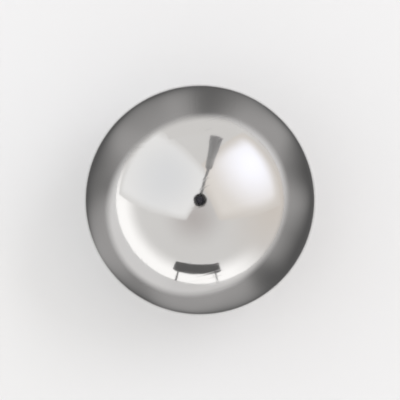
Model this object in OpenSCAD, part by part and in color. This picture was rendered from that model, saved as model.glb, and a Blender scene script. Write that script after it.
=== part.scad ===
// Polished steel ball.
// One solid of hardened steel, ground and lapped until it is round, with no hole, seam or flat.
// It is used loose: it rolls in a race, stirs a bottle, scours a decanter or weighs down a dish.
// Units are millimetres. The origin is the centre of the ball and +Z is up.

/* [Ball] */
// Diameter of the ball, a stock metric size
ball_d = 5; // [1:0.5:25]

/* [Hidden] */

// Facets round the equator in a preview. The solid itself is an exact sphere.
$fn = 96;

module ball() {
    color("silver")
        sphere(d = ball_d);
}

ball();
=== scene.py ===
import math

import bmesh
import bpy
from mathutils import Matrix, Vector


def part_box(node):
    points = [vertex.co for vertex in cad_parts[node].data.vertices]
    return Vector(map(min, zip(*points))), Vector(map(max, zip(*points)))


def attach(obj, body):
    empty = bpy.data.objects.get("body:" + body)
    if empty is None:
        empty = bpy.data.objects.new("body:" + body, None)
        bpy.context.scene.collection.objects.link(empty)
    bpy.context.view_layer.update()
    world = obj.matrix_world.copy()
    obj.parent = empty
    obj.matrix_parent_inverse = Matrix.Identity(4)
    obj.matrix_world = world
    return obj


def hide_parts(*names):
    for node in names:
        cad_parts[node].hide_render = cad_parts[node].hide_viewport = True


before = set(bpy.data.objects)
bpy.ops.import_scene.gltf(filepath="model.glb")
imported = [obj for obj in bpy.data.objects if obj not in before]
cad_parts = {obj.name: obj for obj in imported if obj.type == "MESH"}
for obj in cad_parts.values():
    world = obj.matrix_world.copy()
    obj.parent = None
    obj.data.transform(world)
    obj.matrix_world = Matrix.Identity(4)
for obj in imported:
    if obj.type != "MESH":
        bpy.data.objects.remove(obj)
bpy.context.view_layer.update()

# One polished steel ball on a plain pale floor, seen from straight above in a small studio.
# The ball is a mirror, so what it shows is the studio round it: a white cloth dome, two slanted softboxes,
# the camera on its stand in the gap between them, a bench at the front, and low dark cards whose painted glow
# draws the ball's dark edge. Lengths are in metres. +Y is the back of the studio, and +X its right side.

MM = 0.001

# ---- The ball ----

BALL_LOW, BALL_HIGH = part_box("ball")
BALL_R = (BALL_HIGH.z - BALL_LOW.z) / 2
BALL_CENTRE = Vector((0, 0, BALL_LOW.z + BALL_R))
FACES_PER_EDGE = 96  # a mirror shows every facet, so each side of the cube it starts from is cut this finely
WELD = BALL_R / FACES_PER_EDGE / 20  # points of neighbouring sides that lie closer than this become one

# The steel, from the clear to the haze: its tones, its roughness and what the haze adds to that. The haze's
# patches are counted to the radius.
STEEL_TONES = ((0.62, 0.613, 0.606), (0.67, 0.663, 0.656))
STEEL_ROUGHNESS = 0.055
HAZE_PATCHES = 1.6
HAZE_ROUGHNESS = 0.04

# The traces that lapping leaves: faint waves and hair lines, counted to the radius, and how deep they are.
# The lines run round a few axes. A line is where one noise rises through the levels of HAIR_CREST, and it is
# broken off where another, the wear, stays under those of HAIR_WEAR. Both noises move on from axis to axis.
WAVES = 7
WAVE_DEPTH = 0.0016 * MM
HAIR_LINES = 40
HAIR_DEPTH = 0.0004 * MM
HAIR_ROUGHNESS = 0.04
HAIR_AXES = ((0.91, 0.36, 0.21), (-0.28, 0.87, 0.41), (0.45, -0.62, 0.64))
HAIR_CREST = (0.58, 0.72)
HAIR_WEAR = (0.47, 0.62)
HAIR_WEAR_PATCHES = 1.9
HAIR_CREST_SHIFT = 7.3
HAIR_WEAR_SHIFT = 3.1

# ---- The studio ----

# The camera, how much of the picture's width the ball takes, and the nearest and farthest that it sees,
# counted to its height
CAMERA_LENS_MM = 300
CAMERA_SENSOR_MM = 36
BALL_SHARE = 0.58
CAMERA_SEES = (0.01, 20)

# The floor, and the low wall that it sweeps up into beyond the picture, which starts just clear of it
FLOOR_Z = BALL_LOW.z
FLOOR_HALF = 280 * MM
FLOOR_TONE = (0.80, 0.803, 0.806)
FLOOR_ROUGHNESS = 0.55
SWEEP_FROM = 150 * MM
SWEEP_R = 30 * MM
SWEEP_LIFT = 0.01 * MM
SWEEP_STEPS = 24

# How finely round things are turned, and how far the edges of the studio's gear are broken
TURNED_FACES = 192
BAR_FACES = 48
BAR_EDGE = 0.5 * MM
BOX_EDGE = 0.8 * MM

# The cloth dome: its tone, and the soft patches of other tones on it. A patch is (hour, share, reach, tone).
# It is centred on what the ball shows at that hour of the clock and that share of its radius, and its reach
# is a share of the way from the ball to the dome.
DOME_R = 270 * MM
DOME_STEPS = 48
DOME_TONE = (0.94, 0.928, 0.916)
DOME_PATCHES = (
    (6.6, 0.15, 0.62, (0.70, 0.665, 0.65)),
    (3.0, 0.62, 1.10, (0.90, 0.835, 0.775)),
)

# Light that falls on the foot of the dome at the front left. It goes out as the way from the ball rises
# through FOOT_LIGHT_HIGH, and comes in as that way turns towards its hour through FOOT_LIGHT_SPREAD.
FOOT_LIGHT_HOUR = 7.1
FOOT_LIGHT_HIGH = (0.14, 0.48)
FOOT_LIGHT_SPREAD = (0.0, 0.6)
FOOT_LIGHT_TONE = (1.50, 1.49, 1.48)

# The softboxes: the hour that each stands at, its top and foot edges as (way out, height), half its length,
# the tone of its cloth, the tone at its edges, how far in from them it changes, and a patch of another tone
# (middle, reach, tone). The middle is counted from the cloth's own, up the slope and then anticlockwise.
SOFTBOXES = {
    "left_softbox": {
        "hour": 10.05,
        "top": (7 * MM, 242 * MM),
        "foot": (204 * MM, 12 * MM),
        "half_long": 106 * MM,
        "tone": (1.20, 1.20, 1.20),
        "edge_tone": (1.02, 1.01, 1.00),
        "fall": 30 * MM,
        "patch": ((0, 0, 0), 150 * MM, (1.06, 1.075, 1.10)),
    },
    "right_softbox": {
        "hour": 2.1,
        "top": (35 * MM, 242 * MM),
        "foot": (206 * MM, 16 * MM),
        "half_long": 120 * MM,
        "tone": (1.10, 1.05, 1.00),
        "edge_tone": (0.95, 0.90, 0.85),
        "fall": 50 * MM,
        "patch": ((-66 * MM, 26 * MM, 0), 165 * MM, (1.56, 1.575, 1.70)),
    },
}

# The camera over the ball. The lens barrel and its glass are turned through (radius, height) points, counted
# in radii of the lens. A box is (low corner, high corner), and a bar is (one end, other end, radius).
LENS_R = 16 * MM
LENS_AT = 140 * MM
BARREL_PROFILE = ((1.0, 2.2), (1.0, 0.0), (0.88, -0.02), (0.84, 0.14), (0.62, 0.36))
GLASS_PROFILE = ((0.0, 0.14), (0.25, 0.16), (0.45, 0.23), (0.64, 0.36))
CAMERA_BODY = ((-16 * MM, -12 * MM, 174 * MM), (16 * MM, 13 * MM, 206 * MM))

# Its stand, whose column comes up behind a pale board that glows with a painted tone
STAND_ARM = ((2 * MM, 16 * MM, 186 * MM), (31 * MM, 116 * MM, 174 * MM), 5 * MM)
STAND_COLUMN = ((31 * MM, 116 * MM, FLOOR_Z), (31 * MM, 116 * MM, 183 * MM), 11.5 * MM)
BACK_BOARD = ((-50 * MM, 96 * MM, FLOOR_Z), (50 * MM, 98 * MM, 42 * MM))
# The board's painted glow: it lights nothing, and only the ball mirrors it
BOARD_PAINTED_GLOW = (0.93, 0.915, 0.90)

# The bench at the front, with its legs
BENCH = (
    ((-56 * MM, -160 * MM, 34 * MM), (42 * MM, -142 * MM, 64 * MM)),
    ((-49 * MM, -158 * MM, FLOOR_Z), (-46 * MM, -155 * MM, 36 * MM)),
    ((32 * MM, -158 * MM, FLOOR_Z), (35 * MM, -155 * MM, 36 * MM)),
)

# The paint of the gear: its tone and its roughness
PAINTS = {
    "barrel_paint": ((0.03, 0.03, 0.03), 0.4),
    "coated_glass": ((0.02, 0.02, 0.03), 0.08),
    "body_paint": ((0.15, 0.15, 0.155), 0.5),
    "stand_paint": ((0.34, 0.34, 0.34), 0.5),
    "bench_paint": ((0.11, 0.11, 0.11), 0.6),
}

# The low dark cards stand in a ring close round the ball. They glow with painted tones and light nothing;
# only the ball mirrors them, as its dark edge.
CARDS_R = 1.4 * BALL_R
CARDS_HIGH = 2.0 * BALL_R

# How the cards fade, counted in radii of the ball from the point it rests on: in over the heights of
# CARDS_FOOT, and out over those of CARDS_TOP. The top leans up to the back and the right, and it dips at the
# back right and the front left.
CARDS_FOOT = (-0.1, 0.40)
CARDS_TOP = (1.44, 1.70)
CARDS_LEAN = (0.05, 0.10)
CARDS_DIP = 0.12

# The cards' painted glow pales from dark to grey over the heights of CARDS_PALING, which the patches shift by
# up to half of CARDS_SWING. CARDS_PATCHES counts the patches to the radius along X, Y and Z, and CARDS_SHIFT
# picks the stretch of noise that they are.
CARDS_GLOW_DARK = (0.12, 0.119, 0.119)
CARDS_GLOW_GREY = (0.47, 0.463, 0.460)
CARDS_PALING = (0.4, 2.1)
CARDS_SWING = 2.8
CARDS_PATCHES = (1.3, 1.3, 0.4)
CARDS_SHIFT = (-8.2, 7.1, -4.3)

# The key lamp gives the soft shadow, down to the left
KEY_WAY = Vector((0.595, 0.343, 0.727)).normalized()
KEY_AT = 180 * MM
KEY_SIZE = 110 * MM
KEY_WATTS = 0.12

# The even light of the room outside the dome
ROOM_TONE = (0.9, 0.9, 0.9)


def clock_way(hour):
    """The level way out at an hour of the clock, with 12 at the back."""
    turn = math.radians(30 * hour)
    return Vector((math.sin(turn), math.cos(turn), 0))


def mirrored_way(hour, share):
    """The way out to what the ball shows at an hour of the clock and a share of its radius, from overhead."""
    tilt = 2 * math.asin(share)
    return math.sin(tilt) * clock_way(hour) + Vector((0, 0, math.cos(tilt)))


# ---- Shader expressions ----

class Value:
    """A number or colour that a material works out. Arithmetic on numbers adds Math nodes."""

    def __init__(self, finish, socket):
        self.finish = finish
        self.socket = socket

    def math(self, operation, first, second):
        return self.finish.node("ShaderNodeMath", {"operation": operation}, {0: first, 1: second})

    def __add__(self, other):
        return self.math("ADD", self, other)

    def __radd__(self, other):
        return self.math("ADD", other, self)

    def __sub__(self, other):
        return self.math("SUBTRACT", self, other)

    def __rsub__(self, other):
        return self.math("SUBTRACT", other, self)

    def __mul__(self, other):
        return self.math("MULTIPLY", self, other)

    def __rmul__(self, other):
        return self.math("MULTIPLY", other, self)

    def __abs__(self):
        return self.math("ABSOLUTE", self, 0)


class Finish:
    """The nodes of one material, or of the world."""

    def __init__(self, owner):
        owner.use_nodes = True
        self.owner = owner
        self.tree = owner.node_tree
        self.tree.nodes.clear()

    def node(self, kind, settings=None, inputs=None, output=0):
        """Adds a node: its settings first, then the values or links of its sockets. Gives one output."""
        made = self.tree.nodes.new(kind)
        for name, setting in (settings or {}).items():
            setattr(made, name, setting)
        for name, given in (inputs or {}).items():
            if isinstance(given, Value):
                self.tree.links.new(given.socket, made.inputs[name])
            else:
                made.inputs[name].default_value = given
        return Value(self, made.outputs[output]) if made.outputs else None

    def place(self):
        """Where a point lies on its object."""
        return self.node("ShaderNodeTexCoord", output="Object")

    def vector(self, operation, first, second=(0, 0, 0), output="Vector"):
        return self.node("ShaderNodeVectorMath", {"operation": operation}, {0: first, 1: second}, output)

    def part(self, vector, axis):
        """One part of a vector, by its axis: X, Y or Z."""
        return self.node("ShaderNodeSeparateXYZ", {}, {"Vector": vector}, axis)

    def noise(self, vector, scale, detail, roughness=0.5):
        inputs = {"Vector": vector, "Scale": scale, "Detail": detail, "Roughness": roughness}
        return self.node("ShaderNodeTexNoise", {}, inputs)

    def rise(self, value, start, end):
        """0 up to start and 1 from end on, with a smooth step between."""
        settings = {"interpolation_type": "SMOOTHSTEP"}
        return self.node("ShaderNodeMapRange", settings, {"Value": value, "From Min": start, "From Max": end})

    def blend(self, share, low, high):
        """The colour low where share is 0, and high where it is 1, by the colour sockets of a Mix node."""
        low, high = (tone if isinstance(tone, Value) else (*tone, 1) for tone in (low, high))
        return self.node("ShaderNodeMix", {"data_type": "RGBA"}, {"Factor": share, 6: low, 7: high}, 2)

    def shine(self, inputs):
        """Closes the material with a Principled shader."""
        self.close(self.node("ShaderNodeBsdfPrincipled", {}, inputs))

    def glow(self, colour):
        """Closes the material as lit cloth, which lights the floor, or as a board with a painted glow; it
        shines with its own colour.
        """
        self.close(self.node("ShaderNodeEmission", {}, {"Color": colour}))

    def close(self, shader):
        self.node("ShaderNodeOutputMaterial", {}, {"Surface": shader})


# ---- Finishes ----

def polished_steel():
    """Hardened steel lapped to a mirror: a breath of haze, short broken hair lines, and faint waves."""
    f = Finish(bpy.data.materials.new("polished_steel"))
    radii = f.vector("MULTIPLY", f.place(), [1 / BALL_R] * 3)
    haze = f.noise(radii, HAZE_PATCHES, detail=3.0)
    wave = f.noise(radii, WAVES, detail=1.0)
    lines = 0
    for number, axis in enumerate(HAIR_AXES):
        along = f.vector("DOT_PRODUCT", radii, axis, "Value") + HAIR_CREST_SHIFT * number
        row = f.node("ShaderNodeTexNoise", {"noise_dimensions": "1D"}, {"W": along, "Scale": HAIR_LINES})
        moved = f.vector("ADD", radii, (HAIR_WEAR_SHIFT * number, 0, 0))
        wear = f.noise(moved, HAIR_WEAR_PATCHES, detail=2.0)
        lines = lines + f.rise(row, *HAIR_CREST) * f.rise(wear, *HAIR_WEAR)
    f.shine({
        "Base Color": f.blend(haze, *STEEL_TONES),
        "Metallic": 1.0,
        "Roughness": STEEL_ROUGHNESS + HAZE_ROUGHNESS * haze + HAIR_ROUGHNESS * lines,
        "Normal": f.node("ShaderNodeBump", {}, {
            "Distance": 1.0,
            "Height": WAVE_DEPTH * wave - HAIR_DEPTH * lines,
        }),
    })
    return f.owner


def pale_card():
    """The matte card of the floor."""
    f = Finish(bpy.data.materials.new("pale_card"))
    f.shine({"Base Color": (*FLOOR_TONE, 1), "Roughness": FLOOR_ROUGHNESS})
    return f.owner


def dome_cloth():
    """White cloth lit from outside, with soft patches on it and more light at its foot."""
    f = Finish(bpy.data.materials.new("dome_cloth"))
    way = f.vector("NORMALIZE", f.place())
    colour = DOME_TONE
    for hour, share, reach, tone in DOME_PATCHES:
        away = f.vector("DISTANCE", way, mirrored_way(hour, share), "Value")
        colour = f.blend(1 - f.rise(away, 0, reach), colour, tone)
    low = 1 - f.rise(f.part(way, "Z"), *FOOT_LIGHT_HIGH)
    facing = f.vector("DOT_PRODUCT", way, clock_way(FOOT_LIGHT_HOUR), "Value")
    f.glow(f.blend(low * f.rise(facing, *FOOT_LIGHT_SPREAD), colour, FOOT_LIGHT_TONE))
    return f.owner


def softbox_cloth(name, half_wide, look):
    """The lit front of a softbox: a patch of another tone on it, and a soft fall of light to its edges."""
    f = Finish(bpy.data.materials.new(name))
    place = f.place()
    middle, reach, patch_tone = look["patch"]
    away = f.vector("DISTANCE", place, middle, "Value")
    colour = f.blend(1 - f.rise(away, 0, reach), look["tone"], patch_tone)
    from_side = half_wide - abs(f.part(place, "X"))
    from_end = look["half_long"] - abs(f.part(place, "Y"))
    inside = f.rise(from_side, 0, look["fall"]) * f.rise(from_end, 0, look["fall"])
    f.glow(f.blend(inside, look["edge_tone"], colour))
    return f.owner


def painted_glow_board():
    """A pale board that glows with a painted tone, nearly as bright as the cloth behind it."""
    f = Finish(bpy.data.materials.new("painted_glow_board"))
    f.glow((*BOARD_PAINTED_GLOW, 1))
    return f.owner


def paint(name):
    """The plain paint of the studio's own gear, or the coat on its glass."""
    tone, roughness = PAINTS[name]
    f = Finish(bpy.data.materials.new(name))
    f.shine({"Base Color": (*tone, 1), "Roughness": roughness})
    return f.owner


def painted_glow_cards():
    """Card glowing with painted tones in soft patches of dark and grey, darker towards its foot, which fades
    in at its foot and out at its top.

    It is clear to rays that have already bounced off the floor, so it takes no light from it.
    """
    f = Finish(bpy.data.materials.new("painted_glow_cards"))
    radii = f.vector("MULTIPLY", f.vector("SUBTRACT", f.place(), (0, 0, FLOOR_Z)), [1 / BALL_R] * 3)
    height = f.part(radii, "Z")
    lean = f.vector("DOT_PRODUCT", radii, (*CARDS_LEAN, 0), "Value")
    dip = CARDS_DIP * f.part(radii, "X") * f.part(radii, "Y")
    solid = f.rise(height, *CARDS_FOOT) * (1 - f.rise(height - lean + dip, *CARDS_TOP))
    seen_first = 1 - f.rise(f.node("ShaderNodeLightPath", output="Diffuse Depth"), 0, 1)
    stretched = f.vector("MULTIPLY", f.vector("ADD", radii, CARDS_SHIFT), CARDS_PATCHES)
    patches = f.noise(stretched, scale=1.0, detail=0.5, roughness=0.4)
    grey = f.rise(height + CARDS_SWING * (patches - 0.5), *CARDS_PALING)
    # Painted glow: this colour, darker towards the foot, is all the light the card shows; it lights nothing.
    card = f.node("ShaderNodeEmission", {}, {"Color": f.blend(grey, CARDS_GLOW_DARK, CARDS_GLOW_GREY)})
    clear = f.node("ShaderNodeBsdfTransparent")
    f.close(f.node("ShaderNodeMixShader", {}, {0: solid * seen_first, 1: clear, 2: card}))
    return f.owner


# ---- Meshes ----

def add_object(name, build, finish):
    """Makes an object from a bmesh and gives it its finish."""
    mesh = bpy.data.meshes.new(name)
    build.to_mesh(mesh)
    build.free()
    mesh.materials.append(finish)
    made = bpy.data.objects.new(name, mesh)
    bpy.context.collection.objects.link(made)
    return made


def ball_form():
    """A cube cut evenly by angle and carried out to the sphere, so that its faces are much the same size."""
    build = bmesh.new()
    steps = [math.tan(math.radians(-45 + 90 * i / FACES_PER_EDGE)) for i in range(FACES_PER_EDGE + 1)]
    x, y, z = Vector((1, 0, 0)), Vector((0, 1, 0)), Vector((0, 0, 1))
    for outward, across, along in ((z, x, y), (-z, y, x), (x, y, z), (-x, z, y), (y, z, x), (-y, x, z)):
        rows = []
        for v in steps:
            ways = [(outward + u * across + v * along).normalized() for u in steps]
            rows.append([build.verts.new(BALL_CENTRE + BALL_R * way) for way in ways])
        for near, far in zip(rows, rows[1:]):
            for i in range(FACES_PER_EDGE):
                build.faces.new((near[i], near[i + 1], far[i + 1], far[i]))
    bmesh.ops.remove_doubles(build, verts=build.verts, dist=WELD)
    for face in build.faces:
        face.smooth = True
    return build


def sheet_form(half_x, half_y, height=0.0):
    """A flat level sheet about the upright axis."""
    build = bmesh.new()
    corners = ((-half_x, -half_y), (half_x, -half_y), (half_x, half_y), (-half_x, half_y))
    build.faces.new([build.verts.new((x, y, height)) for x, y in corners])
    return build


def turned_form(profile, around=TURNED_FACES):
    """A surface turned about the upright axis through a row of (radius, height) points."""
    build = bmesh.new()
    turns = [2 * math.pi * i / around for i in range(around)]
    rings = []
    for radius, height in profile:
        if radius:
            points = [(radius * math.cos(a), radius * math.sin(a), height) for a in turns]
            rings.append([build.verts.new(point) for point in points])
        else:
            rings.append([build.verts.new((0, 0, height))] * around)
    for inner, outer in zip(rings, rings[1:]):
        for i in range(around):
            j = (i + 1) % around
            build.faces.new(list(dict.fromkeys((inner[i], outer[i], outer[j], inner[j]))))
    for face in build.faces:
        face.smooth = True
    return build


def quarter_turn(steps):
    """The angles of a quarter turn, cut into even steps."""
    return [math.pi / 2 * i / steps for i in range(steps + 1)]


def box_form(low, high):
    """A box between two corners, with its edges just broken."""
    build = bmesh.new()
    bmesh.ops.create_cube(build, size=1)
    for vert in build.verts:
        vert.co = [a + (b - a) * (share + 0.5) for a, b, share in zip(low, high, vert.co)]
    bmesh.ops.bevel(build, geom=build.edges[:], offset=BOX_EDGE, segments=2, affect="EDGES")
    return build


def add_bar(name, end, other_end, radius, finish):
    """A round bar between two points, with its rim broken at the second."""
    first, last = Vector(end), Vector(other_end)
    half = (last - first).length / 2
    profile = ((0, half), (radius - BAR_EDGE, half), (radius, half - BAR_EDGE), (radius, -half), (0, -half))
    made = add_object(name, turned_form(profile, BAR_FACES), finish)
    made.location = (first + last) / 2
    made.rotation_euler = (last - first).to_track_quat("Z", "Y").to_euler()
    return made


def only_mirrored(made):
    """The ball mirrors this, but the camera doesn't see it, and it neither lights nor shades the floor."""
    made.visible_camera = False
    made.visible_diffuse = False
    made.visible_shadow = False


def light_cloth(made):
    """The ball mirrors this and it lights the floor, but the camera doesn't see it."""
    made.visible_camera = False


# ---- The ball and the floor ----

ball = add_object("polished_ball", ball_form(), polished_steel())
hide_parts("ball")
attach(ball, "root")

floor_card = pale_card()
floor = add_object("pale_floor", sheet_form(FLOOR_HALF, FLOOR_HALF, FLOOR_Z), floor_card)

sweep_profile = [
    (SWEEP_FROM + SWEEP_R * math.sin(a), FLOOR_Z + SWEEP_LIFT + SWEEP_R * (1 - math.cos(a)))
    for a in quarter_turn(SWEEP_STEPS)
]
sweep = add_object("pale_sweep", turned_form(sweep_profile), floor_card)
sweep.visible_glossy = False
sweep.visible_shadow = False

# ---- The studio's cloth and gear ----

dome_profile = [(DOME_R * math.sin(a), FLOOR_Z + DOME_R * math.cos(a)) for a in quarter_turn(DOME_STEPS)]
light_cloth(add_object("cloth_dome", turned_form(dome_profile), dome_cloth()))

up = Vector((0, 0, 1))
for name, look in SOFTBOXES.items():
    out = clock_way(look["hour"])
    top, foot = (level * out + height * up for level, height in (look["top"], look["foot"]))
    half_wide = (top - foot).length / 2
    softbox = add_object(name, sheet_form(half_wide, look["half_long"]), softbox_cloth(name, half_wide, look))
    slope = (top - foot).normalized()
    across = up.cross(out)
    turned = Matrix((slope, across, slope.cross(across))).transposed().to_4x4()
    softbox.matrix_world = Matrix.Translation((top + foot) / 2) @ turned
    light_cloth(softbox)

for name, profile, coat in (
    ("lens_barrel", BARREL_PROFILE, "barrel_paint"),
    ("lens_glass", GLASS_PROFILE, "coated_glass"),
):
    rings = [(LENS_R * radius, LENS_AT + LENS_R * height) for radius, height in profile]
    only_mirrored(add_object(name, turned_form(rings), paint(coat)))
only_mirrored(add_object("camera_body", box_form(*CAMERA_BODY), paint("body_paint")))

stand_paint = paint("stand_paint")
only_mirrored(add_bar("stand_arm", *STAND_ARM, stand_paint))
only_mirrored(add_bar("stand_column", *STAND_COLUMN, stand_paint))
# A board with a painted glow, which only the ball mirrors
only_mirrored(add_object("back_board", box_form(*BACK_BOARD), painted_glow_board()))

bench_paint = paint("bench_paint")
for number, (low, high) in enumerate(BENCH):
    only_mirrored(add_object("bench_%d" % number, box_form(low, high), bench_paint))

# Cards that glow with painted tones, which only the ball mirrors, as its dark edge
cards_profile = ((CARDS_R, FLOOR_Z + CARDS_HIGH), (CARDS_R, FLOOR_Z))
only_mirrored(add_object("painted_dark_cards", turned_form(cards_profile), painted_glow_cards()))

# ---- Lights ----

key = bpy.data.lights.new("key_lamp", "AREA")
key.shape = "DISK"
key.size = KEY_SIZE
key.energy = KEY_WATTS
key_lamp = bpy.data.objects.new("key_lamp", key)
key_lamp.location = KEY_AT * KEY_WAY
key_lamp.rotation_euler = KEY_WAY.to_track_quat("Z", "Y").to_euler()
key_lamp.visible_camera = False
key_lamp.visible_glossy = False
bpy.context.collection.objects.link(key_lamp)

world = bpy.data.worlds.new("pale_room")
bpy.context.scene.world = world
room = Finish(world)
room_light = room.node("ShaderNodeBackground", {}, {"Color": (*ROOM_TONE, 1)})
room.node("ShaderNodeOutputWorld", {}, {"Surface": room_light})

# ---- The camera ----

camera = bpy.data.objects.new("overhead_camera", bpy.data.cameras.new("overhead_camera"))
camera_high = BALL_R / BALL_SHARE * CAMERA_LENS_MM / (CAMERA_SENSOR_MM / 2)
camera.data.lens = CAMERA_LENS_MM
camera.data.sensor_width = CAMERA_SENSOR_MM
camera.data.clip_start, camera.data.clip_end = (share * camera_high for share in CAMERA_SEES)
camera.location = BALL_CENTRE + Vector((0, 0, camera_high))
bpy.context.collection.objects.link(camera)
bpy.context.scene.camera = camera
bpy.context.scene.view_settings.view_transform = "Standard"
